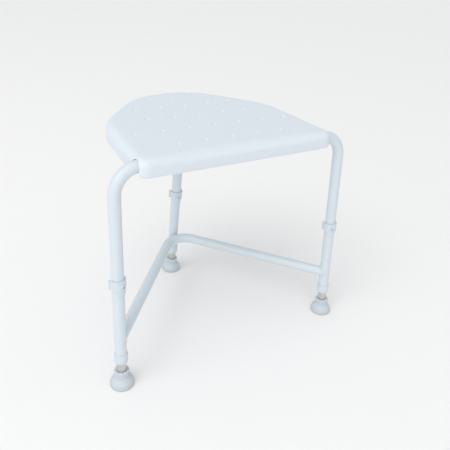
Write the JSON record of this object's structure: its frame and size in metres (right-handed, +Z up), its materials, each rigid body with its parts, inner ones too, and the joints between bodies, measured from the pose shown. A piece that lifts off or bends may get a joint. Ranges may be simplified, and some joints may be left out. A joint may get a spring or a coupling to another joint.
{
  "type": "shower stool",
  "caption": "Free-standing corner shower stool: moulded seat with drain holes on a welded tube frame, with telescoping legs held by pull-out pin clips and rubber feet.",
  "frame": {"origin": "on the floor, under the middle of the stool's overall box, with the legs pushed right in", "axes": "+Z up, +X along the seat's straight front edge, +Y from the straight front edge to the rounded back"},
  "size_m": [0.5518, 0.3912, 0.453],
  "materials": {
    "seat_plastic": "moulded polyethylene, fine satin grain",
    "frame_paint": "white powder coat, satin",
    "saddle_plastic": "moulded nylon, satin",
    "fixing_steel": "zinc-plated steel",
    "bush_plastic": "moulded nylon, satin",
    "inner_leg_aluminium": "satin anodised",
    "clip_plastic": "moulded nylon, satin",
    "foot_rubber": "pale grey-white moulded rubber, matt"
  },
  "bodies": {
    "stool": {"seat_shell": "seat_plastic", "front_frame_tube": "frame_paint", "rear_frame_tube": "frame_paint", "brace_tube": "frame_paint", "seat_saddles": "saddle_plastic", "saddle_washers": "fixing_steel", "saddle_screws": "fixing_steel", "left_leg_bush": "bush_plastic", "right_leg_bush": "bush_plastic", "rear_leg_bush": "bush_plastic"},
    "left_leg": {"left_inner_leg": "inner_leg_aluminium", "left_leg_glide": "bush_plastic", "left_foot": "foot_rubber", "left_foot_washer": "fixing_steel"},
    "left_clip": {"left_height_clip": "clip_plastic"},
    "right_leg": {"right_inner_leg": "inner_leg_aluminium", "right_leg_glide": "bush_plastic", "right_foot": "foot_rubber", "right_foot_washer": "fixing_steel"},
    "right_clip": {"right_height_clip": "clip_plastic"},
    "rear_leg": {"rear_inner_leg": "inner_leg_aluminium", "rear_leg_glide": "bush_plastic", "rear_foot": "foot_rubber", "rear_foot_washer": "fixing_steel"},
    "rear_clip": {"rear_height_clip": "clip_plastic"}
  },
  "joints": [
    {"name": "left_leg_extend", "type": "slide", "parent": "stool", "child": "left_leg", "axis": [-0.0297, -0.0802, -0.9963], "range_m": [0, 0.15]},
    {"name": "left_clip_pull", "type": "slide", "parent": "stool", "child": "left_clip", "axis": [0.3419, -0.9375, 0.0652], "range_m": [0, 0.03]},
    {"name": "right_leg_extend", "type": "slide", "parent": "stool", "child": "right_leg", "axis": [0.0297, -0.0802, -0.9963], "range_m": [0, 0.15]},
    {"name": "right_clip_pull", "type": "slide", "parent": "stool", "child": "right_clip", "axis": [-0.3419, -0.9375, 0.0652], "range_m": [0, 0.03]},
    {"name": "rear_leg_extend", "type": "slide", "parent": "stool", "child": "rear_leg", "axis": [0, 0.0906, -0.9959], "range_m": [0, 0.15]},
    {"name": "rear_clip_pull", "type": "slide", "parent": "stool", "child": "rear_clip", "axis": [0, -0.9959, -0.0906], "range_m": [0, 0.03]}
  ]
}
